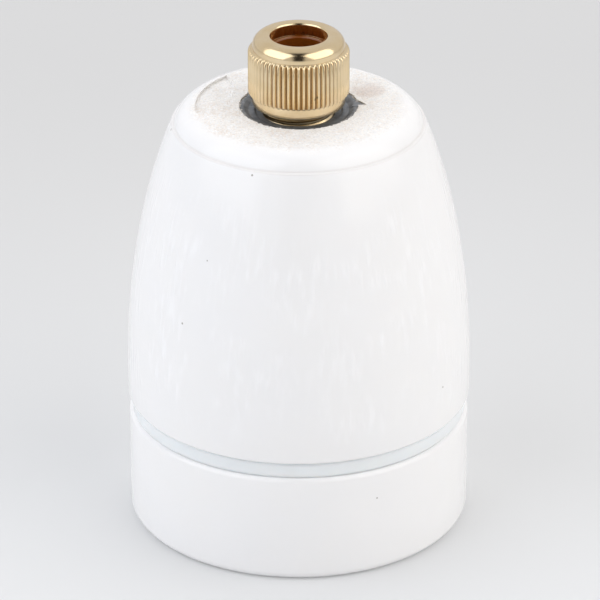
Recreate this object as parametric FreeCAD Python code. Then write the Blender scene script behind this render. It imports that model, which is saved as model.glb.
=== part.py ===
import FreeCAD, Part

import math
import os

from FreeCAD import Vector

# Porcelain lamp holder for a lamp with an Edison screw cap, hung on its flex by a brass cord grip.
# It stands on the open mouth of its skirt. Millimetres, +Z up, origin on the axis at the foot of the skirt.
# The skirt screws into the cap from below and carries the contact block on the rim of its neck.
# A size that only one piece needs is written once; whatever fits round or inside it is worked out from it.

# --- rolled screw shell: its standard size sets the widths of all the porcelain round it ----------
SHELL_RADIUS = 13.75
SHELL_WALL = 0.4
SHELL_PITCH = 3.629
SHELL_TURNS = 4.6
SHELL_ROLL_RADIUS = 1.32
SHELL_ROLL_OFFSET = 0.22
SHELL_MOUTH = 5.0
SHELL_LEAD = 4.6
BEAD_WIDTH = 0.35
BEAD_HEIGHT = 2.4
BEAD_FLARE = 0.3
BASE_THICKNESS = 0.5
BASE_RIM = 0.8
SHELL_SCREWS = 3
COIL_SIDES = 12

# --- porcelain skirt ------------------------------------------------------------------------------
SKIRT_SET_IN = 0.2
SKIRT_HEIGHT = 15.9
SKIRT_FOOT_ROUND = 1.4
SKIRT_TOP_ROUND = 0.7
MOUTH_WALL = 4.7
MOUTH_ROUND = 1.2
THROAT_HEIGHT = 10.0
NECK_GAP = 0.7
NECK_WALL = 4.3
NECK_LEAD = 1.8
NECK_BEVEL = 0.5

# --- coarse round thread between skirt and cap ----------------------------------------------------
BODY_PITCH = 4.0
BODY_TURNS = 2.1
BODY_THREAD_RISE = 5.9
BODY_RIDGE_RADIUS = 1.4
BODY_RIDGE_RISE = 1.0
BODY_CLEARANCE = 0.4
BODY_GROOVE_LEAD = 2  # whole turns keep the groove in step with the ridge
BODY_GROOVE_RUNOUT = 0.15

# --- seal ring ------------------------------------------------------------------------------------
SEAL_THICKNESS = 2.3
SEAL_SET_IN = 0.35
SEAL_BEVEL = 0.4
SEAL_GAP = 0.05
SEAL_NECK_CLEARANCE = 0.3

# --- porcelain cap --------------------------------------------------------------------------------
CAP_WALL = 4.6
CAP_FOOT_ROUND = 0.6
CAP_STRAIGHT = 3.7
CREASE_SET_IN = 6.5
SHOULDER_WIDTH = 3.6
SHOULDER_HEIGHT = 2.63
SHOULDER_BULGE = 0.65
CAVITY_STEP = 2.1
CAVITY_TAPER = 1.8
CAVITY_ROUND = 3.0
CHAMBER_HEIGHT = 10.95
CAP_ROOF = 5.8
RIB_WIDTH = 4.0
RIB_BITE = 1.6
RIB_CLEARANCE = 0.3
PANEL_OVERLAP = 0.3
PANEL_REACH = 4.2
PANEL_OFFSET = 5.2
PANEL_ANGLE = 163.0
PANEL_DEPTH = 0.6

# --- brass cord grip ------------------------------------------------------------------------------
NIPPLE_RADIUS = 4.95
NIPPLE_WALL = 1.1
NIPPLE_SHORT = 1.6
NIPPLE_RISE = 6.4
SEAT_WALL = 0.35
SEAT_TAPER = 0.4
SEAT_DEPTH = 4.0
THREAD_CLEARANCE = 0.1
NUT_WALL = 1.95
NUT_STANDOFF = 0.5
NUT_COLLAR_STEP = 0.55
NUT_COLLAR_HEIGHT = 1.65
NUT_KNURL_HEIGHT = 6.55
NUT_LEDGE = 0.4
NUT_CROWN_HEIGHT = 1.85
NUT_CROWN_ROUND = 1.25
NUT_LIP_THICKNESS = 1.8
NUT_EDGE_ROUND = 0.35
NUT_BORE_CLEARANCE = 0.43
KNURL_RIDGES = 60
KNURL_DEPTH = 0.3
KNURL_SHARE = 0.68
BUSH_BORE_STEP = 0.35
BUSH_FLANGE_CLEARANCE = 0.25
BUSH_FLANGE_HEIGHT = 1.5
BUSH_CLEARANCE = 0.1
BUSH_FOOT_GAP = 0.4
BUSH_TOP_GAP = 0.05
BUSH_SLOTS = 6
BUSH_SLOT_WIDTH = 0.7

# --- steel thread insert in the roof of the cap ---------------------------------------------------
SLEEVE_WALL = 1.15
LIP_WIDTH = 0.8
LIP_HEIGHT = 0.2
SMALL_BEVEL = 0.15
COLLAR_WIDTH = 2.3
COLLAR_HEIGHT = 5.0
FIBRE_OVERHANG = 0.9
FIBRE_THICKNESS = 0.8
TOP_WASHER_WIDTH = 2.1
TOP_WASHER_THICKNESS = 0.45
LUG_LENGTH = 1.2
LUG_WIDTH = 3.6
LUG_ANGLE = 8.5
RECESS_DEPTH = 1.1
FIT_CLEARANCE = 0.15
GRUB_GAP = 0.05

# --- contact block --------------------------------------------------------------------------------
BLOCK_CLEARANCE = 0.6
BLOCK_FLANGE_HEIGHT = 6.3
BLOCK_BEVEL = 0.5
BLOCK_TOP_GAP = 0.3
TERRACE_CLEARANCE = 1.2
TERRACE_HEIGHT = 6.7
ISLAND_GAP = 0.4
ISLAND_DEPTH = 2.0
WELL_FLOOR_HEIGHT = 7.0
WELL_CLEARANCE = 0.3
WIRE_SLOT_REACH = 2.3
WIRE_SLOT_DIP = 0.4

# --- terminals and their fixings ------------------------------------------------------------------
BAR_WIDTH = 7.0
BAR_THICKNESS = 3.5
BAR_END = 2.4
BAR_EDGE_ROUND = 0.3
LIVE_CLAMP_SET_IN = 5.0
CLAMP_SPACING = 5.5
PLATE_OVERLAP = 0.2
PLATE_WIDTH = 4.5
PLATE_THICKNESS = 0.8
SCREW_RADIUS = 1.5
SCREW_HEAD_RADIUS = 2.25
SCREW_HEAD_HEIGHT = 1.6
SCREW_HEAD_GAP = 0.5
SCREW_HEAD_BEVEL = 0.3
SCREW_END = 0.5
SLOT_WIDTH = 0.7
SLOT_DEPTH = 0.8
NUT_FLATS = 5.5
NUT_HEIGHT = 2.4
NUT_POCKET_CLEARANCE = 0.15
TAPPED_CLEARANCE = 0.05
PASSING_CLEARANCE = 0.2

# --- centre contact -------------------------------------------------------------------------------
LEAF_WIDTH = 5.5
LEAF_THICKNESS = 0.5
LEAF_FOOT = 1.8
LEAF_RAMP = 1.1
LEAF_TAIL_GAP = 0.3
LEAF_TIP = 3.0
LEAF_DROP = 2.2
LEAF_BEND_ROUND = 0.4
CENTRE_SCREW_RADIUS = 1.25
CENTRE_SCREW_SHORT = 1.0
CENTRE_HEAD_RADIUS = 1.8
CENTRE_HEAD_HEIGHT = 1.2
CENTRE_HEAD_GAP = 0.6
BUTTON_RADIUS = 2.2
BUTTON_HEIGHT = 1.0
BUTTON_BEVEL = 0.5
BUTTON_SHANK_RADIUS = 0.8
BUTTON_TAIL_RADIUS = 1.1
BUTTON_TAIL_HEIGHT = 0.5

# --- radii that follow, from the shell outwards ---------------------------------------------------
SHELL_INNER_RADIUS = SHELL_RADIUS - SHELL_WALL
BEAD_RADIUS = SHELL_RADIUS + BEAD_WIDTH
NECK_BORE_RADIUS = BEAD_RADIUS + NECK_GAP
NECK_RADIUS = NECK_BORE_RADIUS + NECK_WALL
CAP_BORE_RADIUS = NECK_RADIUS + BODY_CLEARANCE
CAP_RADIUS = CAP_BORE_RADIUS + CAP_WALL
CREASE_RADIUS = CAP_RADIUS - CREASE_SET_IN
DISC_RADIUS = CREASE_RADIUS - SHOULDER_WIDTH
SKIRT_RADIUS = CAP_RADIUS - SKIRT_SET_IN
SEAL_RADIUS = SKIRT_RADIUS - SEAL_SET_IN
MOUTH_RADIUS = SKIRT_RADIUS - MOUTH_WALL
BODY_HELIX_RADIUS = NECK_RADIUS + BODY_RIDGE_RISE - BODY_RIDGE_RADIUS
CAVITY_SHOULDER_RADIUS = CAP_BORE_RADIUS - CAVITY_STEP
CAVITY_ROOF_RADIUS = CAVITY_SHOULDER_RADIUS - CAVITY_TAPER
BLOCK_RADIUS = CAP_BORE_RADIUS - BLOCK_CLEARANCE
TERRACE_RADIUS = CAVITY_SHOULDER_RADIUS - TERRACE_CLEARANCE
RIB_REACH = TERRACE_RADIUS - RIB_BITE
SCREW_CIRCLE = SHELL_INNER_RADIUS - SCREW_HEAD_RADIUS - SCREW_HEAD_GAP
SCREW_ANGLES = [90 + 360 * i / SHELL_SCREWS for i in range(SHELL_SCREWS)]
BASE_HOLE_RADIUS = SCREW_CIRCLE - SCREW_RADIUS - BASE_RIM
ISLAND_RADIUS = BASE_HOLE_RADIUS - ISLAND_GAP
PLATE_LENGTH = BAR_WIDTH - 2 * PLATE_OVERLAP
WIRE_SLOT_WIDTH = BAR_WIDTH + 2 * WIRE_SLOT_REACH

# --- radii of the cord grip, from its thread outwards and inwards ---------------------------------
TAPPED_RADIUS = NIPPLE_RADIUS + THREAD_CLEARANCE
NIPPLE_BORE_RADIUS = NIPPLE_RADIUS - NIPPLE_WALL
SEAT_TOP_RADIUS = NIPPLE_RADIUS - SEAT_WALL
SEAT_FOOT_RADIUS = SEAT_TOP_RADIUS - SEAT_TAPER
NUT_RADIUS = TAPPED_RADIUS + NUT_WALL
NUT_COLLAR_RADIUS = NUT_RADIUS - NUT_COLLAR_STEP
NUT_CROWN_RADIUS = NUT_RADIUS - NUT_LEDGE
BUSH_BORE_RADIUS = NIPPLE_BORE_RADIUS - BUSH_BORE_STEP
BUSH_FLANGE_RADIUS = TAPPED_RADIUS - BUSH_FLANGE_CLEARANCE
NUT_BORE_RADIUS = BUSH_BORE_RADIUS + NUT_BORE_CLEARANCE
SLEEVE_RADIUS = TAPPED_RADIUS + SLEEVE_WALL
LIP_RADIUS = SLEEVE_RADIUS + LIP_WIDTH
COLLAR_RADIUS = SLEEVE_RADIUS + COLLAR_WIDTH
FIBRE_RADIUS = COLLAR_RADIUS + FIBRE_OVERHANG
TOP_WASHER_RADIUS = SLEEVE_RADIUS + TOP_WASHER_WIDTH
LUG_REACH = TOP_WASHER_RADIUS + LUG_LENGTH

# --- heights that follow, from the foot upwards ---------------------------------------------------
SEAL_TOP = SKIRT_HEIGHT + SEAL_THICKNESS
CAP_FOOT = SEAL_TOP + SEAL_GAP
BODY_THREAD_START = SKIRT_HEIGHT + BODY_THREAD_RISE
NECK_TOP = BODY_THREAD_START + BODY_PITCH * BODY_TURNS + NECK_LEAD
FLANGE_TOP = NECK_TOP + BLOCK_FLANGE_HEIGHT
TERRACE_TOP = FLANGE_TOP + TERRACE_HEIGHT
CAVITY_SHOULDER = FLANGE_TOP + BLOCK_TOP_GAP
CEILING = TERRACE_TOP + CHAMBER_HEIGHT
CAP_TOP = CEILING + CAP_ROOF
CREASE = CAP_TOP - SHOULDER_HEIGHT
CURVE_FOOT = CAP_FOOT + CAP_STRAIGHT
CURVE_HEIGHT = (CREASE - CURVE_FOOT) / (1 - (CREASE_RADIUS / CAP_RADIUS) ** 2) ** 0.5
BASE_FOOT = NECK_TOP - BASE_THICKNESS
ISLAND_FOOT = NECK_TOP - ISLAND_DEPTH
LEAF_LOW = ISLAND_FOOT - LEAF_DROP
WELL_FLOOR = NECK_TOP + WELL_FLOOR_HEIGHT
BAR_TOP = WELL_FLOOR + BAR_THICKNESS
PLATE_TOP = BAR_TOP + PLATE_THICKNESS
RECESS_FLOOR = CAP_TOP - RECESS_DEPTH
TOP_WASHER_TOP = RECESS_FLOOR + TOP_WASHER_THICKNESS
COLLAR_TOP = CEILING - FIBRE_THICKNESS
COLLAR_FOOT = COLLAR_TOP - COLLAR_HEIGHT
GRUB_HEIGHT = COLLAR_FOOT + COLLAR_HEIGHT / 2
NIPPLE_FOOT = COLLAR_FOOT + NIPPLE_SHORT
NIPPLE_TOP = CAP_TOP + NIPPLE_RISE
NUT_FOOT = CAP_TOP + NUT_STANDOFF
KNURL_FOOT = NUT_FOOT + NUT_COLLAR_HEIGHT
KNURL_TOP = KNURL_FOOT + NUT_KNURL_HEIGHT
NUT_TOP = KNURL_TOP + NUT_CROWN_HEIGHT
NUT_LIP = NUT_TOP - NUT_LIP_THICKNESS

# --- places along Y of the contacts and their screws ----------------------------------------------
LEAF_BEND = -(BUTTON_TAIL_RADIUS + LEAF_TAIL_GAP + LEAF_RAMP)
CENTRE_SCREW_Y = LEAF_BEND - CENTRE_HEAD_GAP - CENTRE_HEAD_RADIUS
LEAF_FOOT_END = CENTRE_SCREW_Y - LEAF_FOOT
LIVE_CLAMP_Y = LIVE_CLAMP_SET_IN - TERRACE_RADIUS
NEUTRAL_CLAMP_Y = SCREW_CIRCLE - CLAMP_SPACING

Z_AXIS = Vector(0, 0, 1)
ORIGIN = Vector(0, 0, 0)


# --- shared shapes --------------------------------------------------------------------------------
def point(r, z):
    return Vector(r, 0, z)


def outline(corners, straight=False):
    """Closed wire in the XZ plane; a corner (r, z, size) is rounded by its size, or bevelled by it if straight."""
    runs = []
    count = len(corners)
    for i, corner in enumerate(corners):
        here = point(corner[0], corner[1])
        before = point(*corners[i - 1][:2])
        after = point(*corners[(i + 1) % count][:2])
        radius = corner[2] if len(corner) > 2 else 0
        if not radius:
            runs.append((here, None, here))
            continue
        inward = (before - here).normalize()
        outward = (after - here).normalize()
        half = inward.getAngle(outward) / 2
        reach = radius if straight else radius / math.tan(half)
        middle = (inward + outward).normalize()
        centre = here + middle * (radius / math.sin(half))
        runs.append((here + inward * reach, centre - middle * radius, here + outward * reach))
    edges = []
    for i, (start, through, end) in enumerate(runs):
        if through and straight:
            edges.append(Part.LineSegment(start, end).toShape())
        elif through:
            edges.append(Part.Arc(start, through, end).toShape())
        following = runs[(i + 1) % count][0]
        if end.distanceToPoint(following) > 1e-6:
            edges.append(Part.LineSegment(end, following).toShape())
    return Part.Wire(edges)


def turned(corners, straight=False):
    """Solid turned about the Z axis from a closed outline of (r, z) corners."""
    return Part.Face(outline(corners, straight)).revolve(ORIGIN, Z_AXIS, 360)


def rod(radius, z0, z1, x=0, y=0):
    return Part.makeCylinder(radius, z1 - z0, Vector(x, y, z0))


def box(width, depth, z0, z1, x=0, y=0):
    return Part.makeBox(width, depth, z1 - z0, Vector(x - width / 2, y - depth / 2, z0))


def upright_edges(block):
    return [edge for edge in block.Edges if edge.BoundBox.ZLength > block.BoundBox.ZLength / 2]


def about_axis(shape, angle):
    copy = shape.copy()
    copy.rotate(ORIGIN, Z_AXIS, angle)
    return copy


def drill(radius, z0, z1, circle, angle):
    """Upright rod at a place given by its distance from the axis and its angle."""
    return about_axis(rod(radius, z0, z1, circle), angle)


def coil(centre_radius, bar_radius, pitch, z0, turns, end_cover=0):
    """Bar wound into a right-handed helix that starts on the X axis, longer by end_cover at each end.

    The bar has narrow flats in place of a round section, so that its long faces stay simple.
    """
    extra = end_cover / (2 * math.pi * centre_radius)
    path = Part.makeHelix(pitch, pitch * (turns + 2 * extra), centre_radius)
    corners = []
    for i in range(COIL_SIDES + 1):
        angle = 2 * math.pi * (i + 0.5) / COIL_SIDES
        corners.append(point(centre_radius + bar_radius * math.cos(angle), bar_radius * math.sin(angle)))
    bar = Part.Wire(path.Edges).makePipeShell([Part.makePolygon(corners)], True, True)
    bar.rotate(ORIGIN, Z_AXIS, -360 * extra)
    bar.translate(Vector(0, 0, z0 - pitch * extra))
    return bar


def hexagon(flats, z0, z1, x, y):
    corner = flats / 3 ** 0.5
    outline = [Vector(x + corner * math.cos(a), y + corner * math.sin(a), z0) for a in sixths()]
    return Part.Face(Part.makePolygon(outline)).extrude(Vector(0, 0, z1 - z0))


def sixths():
    return [math.pi * i / 3 for i in range(7)]


def slotted_screw(radius, length, head_radius, head_height):
    """Cheese-head screw with its head above z = 0 and its shank below."""
    corners = [(0, -length), (radius, -length, radius / 4), (radius, 0), (head_radius, 0)]
    corners += [(head_radius, head_height, SCREW_HEAD_BEVEL), (0, head_height)]
    slot = box(3 * head_radius, SLOT_WIDTH, head_height - SLOT_DEPTH, head_height + 1)
    return turned(corners, True).cut(slot)


def placed(shape, x, y, z, head_down=False):
    copy = shape.copy()
    if head_down:
        copy.rotate(ORIGIN, Vector(1, 0, 0), 180)
    copy.translate(Vector(x, y, z))
    return copy


# --- porcelain ------------------------------------------------------------------------------------
def porcelain_skirt():
    body = turned([
        (MOUTH_RADIUS, 0, MOUTH_ROUND),
        (SKIRT_RADIUS, 0, SKIRT_FOOT_ROUND),
        (SKIRT_RADIUS, SKIRT_HEIGHT, SKIRT_TOP_ROUND),
        (NECK_RADIUS, SKIRT_HEIGHT),
        (NECK_RADIUS, NECK_TOP - NECK_BEVEL),
        (NECK_RADIUS - NECK_BEVEL, NECK_TOP),
        (NECK_BORE_RADIUS, NECK_TOP),
        (NECK_BORE_RADIUS, THROAT_HEIGHT),
    ])
    ridge = coil(BODY_HELIX_RADIUS, BODY_RIDGE_RADIUS, BODY_PITCH, BODY_THREAD_START, BODY_TURNS)
    return body.fuse(ridge)


def seal_ring():
    inner = NECK_RADIUS + SEAL_NECK_CLEARANCE
    return turned([
        (inner, SKIRT_HEIGHT),
        (SEAL_RADIUS, SKIRT_HEIGHT, SEAL_BEVEL),
        (SEAL_RADIUS, SEAL_TOP, SEAL_BEVEL),
        (inner, SEAL_TOP),
    ], True)


def cap_outside():
    """Solid dome: straight foot, part of an ellipse up to the crease, a bulged shoulder and a flat disc."""
    side = Part.Ellipse(
        point(0, CURVE_FOOT + CURVE_HEIGHT), point(CAP_RADIUS, CURVE_FOOT), point(0, CURVE_FOOT)
    )
    widest = point(CAP_RADIUS, CURVE_FOOT)
    crease = point(CREASE_RADIUS, CREASE)
    rim = point(DISC_RADIUS, CAP_TOP)
    across = (rim - crease).normalize()
    outward = Vector(-across.z, 0, across.x)
    if outward.z < 0:
        outward = outward * -1
    swell = (crease + rim) * 0.5 + outward * SHOULDER_BULGE
    lower = CAP_FOOT_ROUND * (1 - 0.5 ** 0.5)
    edges = [
        Part.LineSegment(point(0, CAP_FOOT), point(CAP_RADIUS - CAP_FOOT_ROUND, CAP_FOOT)).toShape(),
        Part.Arc(
            point(CAP_RADIUS - CAP_FOOT_ROUND, CAP_FOOT),
            point(CAP_RADIUS - lower, CAP_FOOT + lower),
            point(CAP_RADIUS, CAP_FOOT + CAP_FOOT_ROUND),
        ).toShape(),
        Part.LineSegment(point(CAP_RADIUS, CAP_FOOT + CAP_FOOT_ROUND), widest).toShape(),
        side.toShape(side.parameter(crease), side.parameter(widest)),
        Part.Arc(crease, swell, rim).toShape(),
        Part.LineSegment(rim, point(0, CAP_TOP)).toShape(),
        Part.LineSegment(point(0, CAP_TOP), point(0, CAP_FOOT)).toShape(),
    ]
    return Part.Face(Part.Wire(Part.__sortEdges__(edges))).revolve(ORIGIN, Z_AXIS, 360)


def cap_cavity():
    """Bore for the skirt's neck, a shoulder above the contact block and the wiring chamber."""
    below = CAP_FOOT - 1
    return turned([
        (0, below),
        (CAP_BORE_RADIUS, below),
        (CAP_BORE_RADIUS, CAVITY_SHOULDER),
        (CAVITY_SHOULDER_RADIUS, CAVITY_SHOULDER),
        (CAVITY_ROOF_RADIUS, CEILING, CAVITY_ROUND),
        (0, CEILING),
    ])


def key_ribs():
    """Two upright ribs that stop the contact block from turning in the cap."""
    foot = NECK_TOP + BODY_CLEARANCE
    reach = CAP_BORE_RADIUS + 1 - RIB_REACH
    ribs = [box(reach, RIB_WIDTH, foot, CEILING + 1, side * (RIB_REACH + reach / 2)) for side in (-1, 1)]
    return ribs


def washer_outline(radius, reach, width, z0, z1):
    """Disc with one pointed lug at the side."""
    tip = reach - width / 4
    lug = Part.Face(Part.makePolygon([
        Vector(0, -width / 2, z0), Vector(radius, -width / 2, z0), Vector(tip, -width / 4, z0),
        Vector(reach, 0, z0), Vector(tip, width / 4, z0), Vector(radius, width / 2, z0),
        Vector(0, width / 2, z0), Vector(0, -width / 2, z0),
    ])).extrude(Vector(0, 0, z1 - z0))
    return about_axis(rod(radius, z0, z1).fuse(lug), LUG_ANGLE).removeSplitter()


def top_recess():
    """Shallow seat for the top washer and its lug."""
    radius = TOP_WASHER_RADIUS + FIT_CLEARANCE
    reach = LUG_REACH + FIT_CLEARANCE
    return washer_outline(radius, reach, LUG_WIDTH + 2 * FIT_CLEARANCE, RECESS_FLOOR, CAP_TOP + 1)


def crescent_recess():
    """Shallow bare panel at the edge of the disc."""
    floor = CAP_TOP - PANEL_DEPTH
    tool = drill(PANEL_OFFSET + PANEL_REACH, floor, CAP_TOP + 1, DISC_RADIUS + PANEL_OFFSET, PANEL_ANGLE)
    return tool.common(rod(DISC_RADIUS + PANEL_OVERLAP, floor, CAP_TOP + 1))


def porcelain_cap():
    groove = coil(
        BODY_HELIX_RADIUS,
        BODY_RIDGE_RADIUS + BODY_CLEARANCE,
        BODY_PITCH,
        BODY_THREAD_START - BODY_PITCH * BODY_GROOVE_LEAD,
        BODY_TURNS + BODY_GROOVE_LEAD + BODY_GROOVE_RUNOUT,
    )
    bore = rod(SLEEVE_RADIUS + FIT_CLEARANCE, CEILING - 1, CAP_TOP)
    outside = cap_outside()
    inside = cap_cavity()
    ribs = [rib.common(inside) for rib in key_ribs()]
    cap = outside.cut([inside.fuse(groove), top_recess(), crescent_recess()])
    return cap.fuse(ribs).cut(bore)


# --- thread insert and cord grip ------------------------------------------------------------------
def thread_insert():
    body = turned([
        (TAPPED_RADIUS, COLLAR_FOOT, SMALL_BEVEL),
        (COLLAR_RADIUS, COLLAR_FOOT, SMALL_BEVEL),
        (COLLAR_RADIUS, COLLAR_TOP, SMALL_BEVEL),
        (SLEEVE_RADIUS, COLLAR_TOP),
        (SLEEVE_RADIUS, TOP_WASHER_TOP),
        (LIP_RADIUS, TOP_WASHER_TOP, SMALL_BEVEL),
        (LIP_RADIUS, TOP_WASHER_TOP + LIP_HEIGHT, SMALL_BEVEL),
        (TAPPED_RADIUS, TOP_WASHER_TOP + LIP_HEIGHT, SMALL_BEVEL),
    ], True)
    return body.cut(grub_rod(SCREW_RADIUS + TAPPED_CLEARANCE, NIPPLE_RADIUS, COLLAR_RADIUS + 1))


def grub_rod(radius, start, end):
    return Part.makeCylinder(radius, end - start, Vector(0, -start, GRUB_HEIGHT), Vector(0, -1, 0))


def locking_screw():
    start = NIPPLE_RADIUS + GRUB_GAP
    end = COLLAR_RADIUS + GRUB_GAP
    foot = GRUB_HEIGHT - SLOT_WIDTH / 2
    slot = box(3 * SCREW_RADIUS, SLOT_DEPTH, foot, foot + SLOT_WIDTH, 0, -end)
    return grub_rod(SCREW_RADIUS, start, end).cut(slot)


def fibre_washer():
    hole = rod(SLEEVE_RADIUS + FIT_CLEARANCE, COLLAR_TOP, CEILING)
    return rod(FIBRE_RADIUS, COLLAR_TOP, CEILING).cut(hole)


def top_washer():
    disc = washer_outline(TOP_WASHER_RADIUS, LUG_REACH, LUG_WIDTH, RECESS_FLOOR, TOP_WASHER_TOP)
    return disc.cut(rod(SLEEVE_RADIUS + FIT_CLEARANCE, RECESS_FLOOR, TOP_WASHER_TOP))


def cord_grip_nipple():
    seat_foot = NIPPLE_TOP - SEAT_DEPTH
    return turned([
        (NIPPLE_BORE_RADIUS, NIPPLE_FOOT, SMALL_BEVEL),
        (NIPPLE_RADIUS, NIPPLE_FOOT, SMALL_BEVEL),
        (NIPPLE_RADIUS, NIPPLE_TOP),
        (SEAT_TOP_RADIUS, NIPPLE_TOP),
        (SEAT_FOOT_RADIUS, seat_foot),
        (NIPPLE_BORE_RADIUS, seat_foot),
    ], True)


def clamp_bush():
    """Slotted cone that closes on the flex when the nut drives it into the nipple."""
    foot = NIPPLE_TOP - SEAT_DEPTH + BUSH_FOOT_GAP
    top = NUT_LIP - BUSH_TOP_GAP
    flange_foot = top - BUSH_FLANGE_HEIGHT
    body = turned([
        (BUSH_BORE_RADIUS, foot),
        (SEAT_FOOT_RADIUS - BUSH_CLEARANCE, foot),
        (SEAT_TOP_RADIUS - BUSH_CLEARANCE, NIPPLE_TOP),
        (SEAT_TOP_RADIUS - BUSH_CLEARANCE, flange_foot),
        (BUSH_FLANGE_RADIUS, flange_foot),
        (BUSH_FLANGE_RADIUS, top, SMALL_BEVEL),
        (BUSH_BORE_RADIUS, top, SMALL_BEVEL),
    ], True)
    reach = 2 * BUSH_FLANGE_RADIUS
    slot = box(reach, BUSH_SLOT_WIDTH, foot - 1, flange_foot - BUSH_SLOT_WIDTH, reach / 2)
    return body.cut([about_axis(slot, 360 * i / BUSH_SLOTS) for i in range(BUSH_SLOTS)])


def knurl_groove():
    """V-shaped groove along the nut's side, open above the collar and at the ledge under the crown."""
    root = NUT_RADIUS - KNURL_DEPTH
    rise = 0.3 * KNURL_DEPTH
    half = math.pi * NUT_RADIUS / KNURL_RIDGES * KNURL_SHARE * (1 + rise / KNURL_DEPTH)
    section = [(root, 0), (NUT_RADIUS + rise, half), (NUT_RADIUS + rise, -half), (root, 0)]
    face = Part.Face(Part.makePolygon([Vector(x, y, KNURL_FOOT - 1) for x, y in section]))
    return face.extrude(Vector(0, 0, NUT_KNURL_HEIGHT + 2))


def cord_grip_nut():
    body = turned([
        (TAPPED_RADIUS, NUT_FOOT, NUT_EDGE_ROUND),
        (NUT_COLLAR_RADIUS, NUT_FOOT, NUT_EDGE_ROUND),
        (NUT_COLLAR_RADIUS, KNURL_FOOT),
        (NUT_RADIUS, KNURL_FOOT),
        (NUT_RADIUS, KNURL_TOP),
        (NUT_CROWN_RADIUS, KNURL_TOP),
        (NUT_CROWN_RADIUS, NUT_TOP, NUT_CROWN_ROUND),
        (NUT_BORE_RADIUS, NUT_TOP, NUT_EDGE_ROUND),
        (NUT_BORE_RADIUS, NUT_LIP),
        (TAPPED_RADIUS, NUT_LIP),
    ])
    groove = knurl_groove()
    return body.cut([about_axis(groove, 360 * i / KNURL_RIDGES) for i in range(KNURL_RIDGES)])


# --- contact block and what it carries ------------------------------------------------------------
def bar_well(y0, y1, clamp_y):
    """Well that holds a terminal bar, with a cross slot so that the wire reaches both sides of the screw."""
    top = TERRACE_TOP + 1
    depth = y1 - y0 + 2 * (BAR_END + WELL_CLEARANCE)
    well = box(BAR_WIDTH + 2 * WELL_CLEARANCE, depth, WELL_FLOOR, top, 0, (y0 + y1) / 2)
    wire_slot = box(WIRE_SLOT_WIDTH, 2 * BAR_END, BAR_TOP - WIRE_SLOT_DIP, top, 0, clamp_y)
    return well.fuse(wire_slot)


def key_notches():
    inner = RIB_REACH - RIB_CLEARANCE
    width = RIB_WIDTH + 2 * RIB_CLEARANCE
    reach = BLOCK_RADIUS + 1 - inner
    return [box(reach, width, NECK_TOP - 1, TERRACE_TOP + 1, s * (inner + reach / 2)) for s in (-1, 1)]


def contact_block():
    body = turned([
        (0, ISLAND_FOOT),
        (ISLAND_RADIUS, ISLAND_FOOT, BLOCK_BEVEL),
        (ISLAND_RADIUS, NECK_TOP),
        (BLOCK_RADIUS, NECK_TOP, BLOCK_BEVEL),
        (BLOCK_RADIUS, FLANGE_TOP, BLOCK_BEVEL),
        (TERRACE_RADIUS, FLANGE_TOP),
        (TERRACE_RADIUS, TERRACE_TOP, BLOCK_BEVEL),
        (0, TERRACE_TOP),
    ], True)
    wells = [
        bar_well(LIVE_CLAMP_Y, CENTRE_SCREW_Y, LIVE_CLAMP_Y),
        bar_well(NEUTRAL_CLAMP_Y, SCREW_CIRCLE, NEUTRAL_CLAMP_Y),
    ]
    hole = SCREW_RADIUS + PASSING_CLEARANCE
    holes = [drill(hole, NECK_TOP - 1, WELL_FLOOR + 1, SCREW_CIRCLE, a) for a in SCREW_ANGLES]
    centre_hole = CENTRE_SCREW_RADIUS + PASSING_CLEARANCE
    holes.append(rod(centre_hole, ISLAND_FOOT - 1, WELL_FLOOR + 1, 0, CENTRE_SCREW_Y))
    pocket = hexagon(NUT_FLATS + 2 * NUT_POCKET_CLEARANCE, WELL_FLOOR, TERRACE_TOP + 1, SCREW_CIRCLE, 0)
    pockets = [about_axis(pocket, a) for a in SCREW_ANGLES[1:]]
    return body.cut(wells + key_notches() + holes + pockets)


def shell_tube():
    """Thin tube with a rolled round thread: the groove outside is the ridge inside."""
    helix = SHELL_RADIUS + SHELL_ROLL_OFFSET
    start = SHELL_MOUTH + SHELL_LEAD
    outer_groove = coil(helix, SHELL_ROLL_RADIUS, SHELL_PITCH, start, SHELL_TURNS)
    inner_groove = coil(helix, SHELL_ROLL_RADIUS + SHELL_WALL, SHELL_PITCH, start, SHELL_TURNS, SHELL_WALL)
    outside = rod(SHELL_RADIUS, SHELL_MOUTH + BEAD_HEIGHT, BASE_FOOT).cut(outer_groove)
    inside = rod(SHELL_INNER_RADIUS, SHELL_MOUTH, BASE_FOOT).cut(inner_groove)
    return outside.cut(inside)


def screw_shell():
    bead = turned([
        (SHELL_INNER_RADIUS + BEAD_FLARE, SHELL_MOUTH),
        (BEAD_RADIUS, SHELL_MOUTH, SMALL_BEVEL),
        (BEAD_RADIUS, SHELL_MOUTH + BEAD_HEIGHT, SMALL_BEVEL),
        (SHELL_INNER_RADIUS, SHELL_MOUTH + BEAD_HEIGHT),
        (SHELL_INNER_RADIUS + BEAD_FLARE, SHELL_MOUTH + BEAD_HEIGHT - BEAD_FLARE),
    ], True)
    base = turned([
        (BASE_HOLE_RADIUS, BASE_FOOT),
        (SHELL_RADIUS, BASE_FOOT),
        (SHELL_RADIUS, NECK_TOP, SMALL_BEVEL),
        (BASE_HOLE_RADIUS, NECK_TOP),
    ], True)
    hole = SCREW_RADIUS + PASSING_CLEARANCE
    holes = [drill(hole, BASE_FOOT - 1, NECK_TOP + 1, SCREW_CIRCLE, a) for a in SCREW_ANGLES]
    return shell_tube().fuse([bead, base]).cut(holes)


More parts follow.
